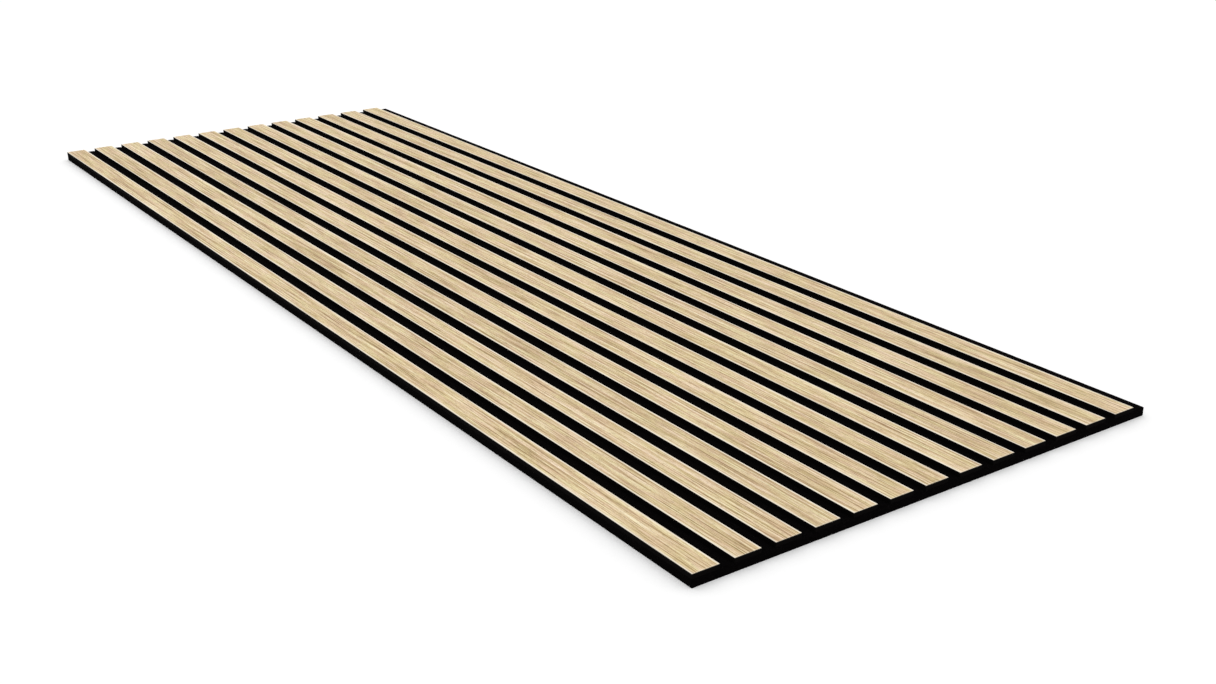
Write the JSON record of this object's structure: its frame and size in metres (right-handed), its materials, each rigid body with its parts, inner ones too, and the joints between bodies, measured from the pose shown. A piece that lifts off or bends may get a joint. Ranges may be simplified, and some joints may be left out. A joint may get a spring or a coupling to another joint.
{
  "type": "acoustic slat wall panel",
  "caption": "Long flat wall panel: black felt board with evenly spaced oak-faced slats running its full length, and a bare strip of felt along one edge for the joint with the next panel.",
  "frame": {"origin": "middle of the felt's back face, which lies on the floor or against the wall", "axes": "+X along the slats, +Y across them from the flush edge towards the bare felt strip, +Z out of the back towards the slats' faces"},
  "size_m": [1.7, 0.6, 0.014],
  "materials": {
    "felt": "matte",
    "black_board": "matte",
    "oak_veneer": "satin",
    "staple_wire": "satin"
  },
  "bodies": {
    "root": {"felt_backing": "felt", "slat_core_01": "black_board", "slat_core_02": "black_board", "slat_core_03": "black_board", "slat_core_04": "black_board", "slat_core_05": "black_board", "slat_core_06": "black_board", "slat_core_07": "black_board", "slat_core_08": "black_board", "slat_core_09": "black_board", "slat_core_10": "black_board", "slat_core_11": "black_board", "slat_core_12": "black_board", "slat_core_13": "black_board", "slat_veneer_01": "oak_veneer", "slat_veneer_02": "oak_veneer", "slat_veneer_03": "oak_veneer", "slat_veneer_04": "oak_veneer", "slat_veneer_05": "oak_veneer", "slat_veneer_06": "oak_veneer", "slat_veneer_07": "oak_veneer", "slat_veneer_08": "oak_veneer", "slat_veneer_09": "oak_veneer", "slat_veneer_10": "oak_veneer", "slat_veneer_11": "oak_veneer", "slat_veneer_12": "oak_veneer", "slat_veneer_13": "oak_veneer", "staples": "staple_wire"}
  },
  "joints": []
}
